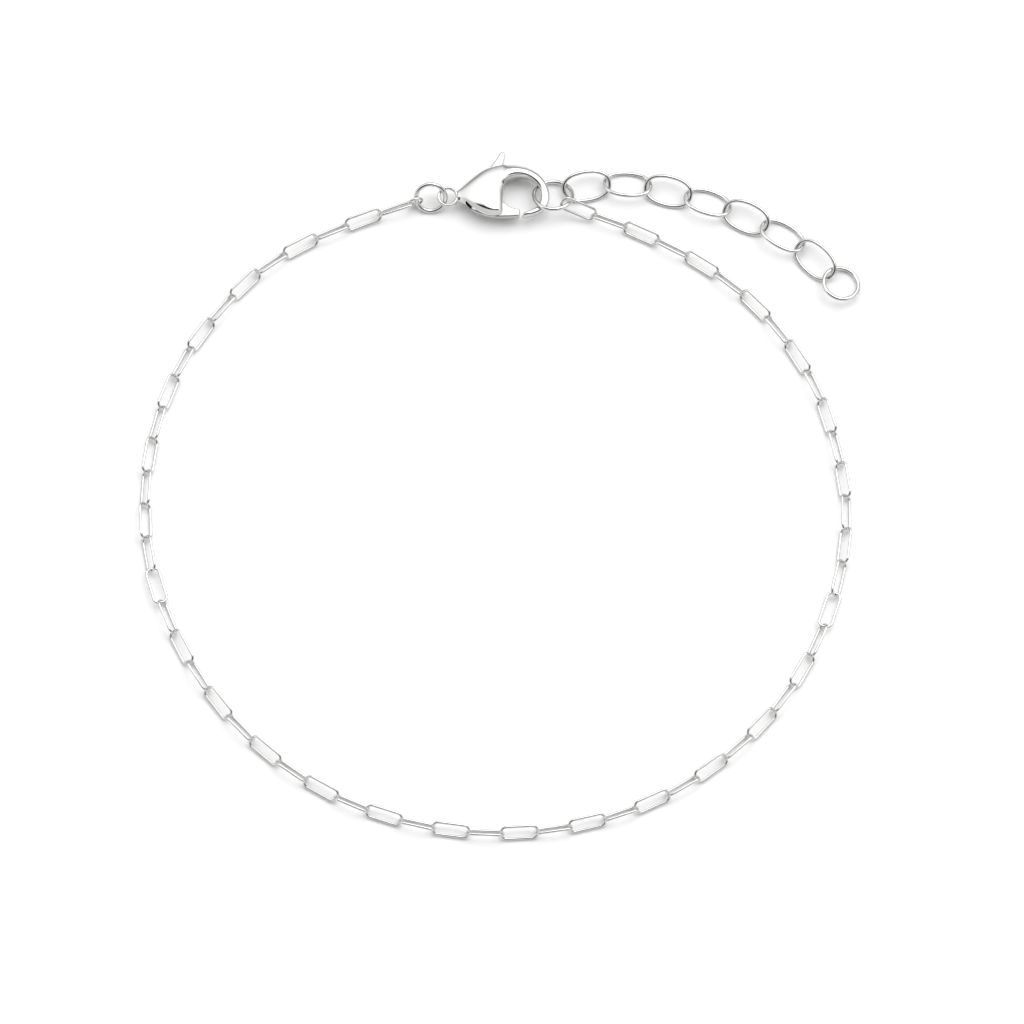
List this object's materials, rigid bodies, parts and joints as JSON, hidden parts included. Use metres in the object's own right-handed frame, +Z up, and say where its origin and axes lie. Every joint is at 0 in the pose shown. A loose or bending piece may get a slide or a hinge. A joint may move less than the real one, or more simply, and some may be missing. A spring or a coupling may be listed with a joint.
{
  "type": "chain bracelet",
  "caption": "Paperclip chain bracelet laid in a closed loop, with a lobster clasp, a joining ring and an oval-link extender that ends in a ring.",
  "frame": {"origin": "middle of the whole bracelet, on the surface it lies on", "axes": "+Z up from the surface, +X towards the extender, +Y from the loop's middle towards the clasp"},
  "size_m": [0.06, 0.0594, 0.0021],
  "materials": {
    "chain_silver": "polished silver, lightly worn",
    "clasp_silver": "polished silver"
  },
  "bodies": {
    "bracelet": {"chain": "chain_silver", "chain_end_ring": "chain_silver", "jump_ring": "chain_silver", "connector_ring": "chain_silver", "extender_link_1": "chain_silver", "extender_link_2": "chain_silver", "extender_link_3": "chain_silver", "extender_link_4": "chain_silver", "extender_link_5": "chain_silver", "extender_link_6": "chain_silver", "extender_link_7": "chain_silver", "end_ring": "chain_silver", "clasp_body": "clasp_silver", "clasp_pivot": "clasp_silver"},
    "lever": {"clasp_lever": "clasp_silver"}
  },
  "joints": [
    {"name": "lever_hinge", "type": "hinge", "parent": "bracelet", "child": "lever", "pos_m": [-0.00063, 0.0252, 0.00103], "axis": [0, 0, 1], "range_deg": [0, 24], "stiffness_Nm_per_rad": 0.002}
  ]
}
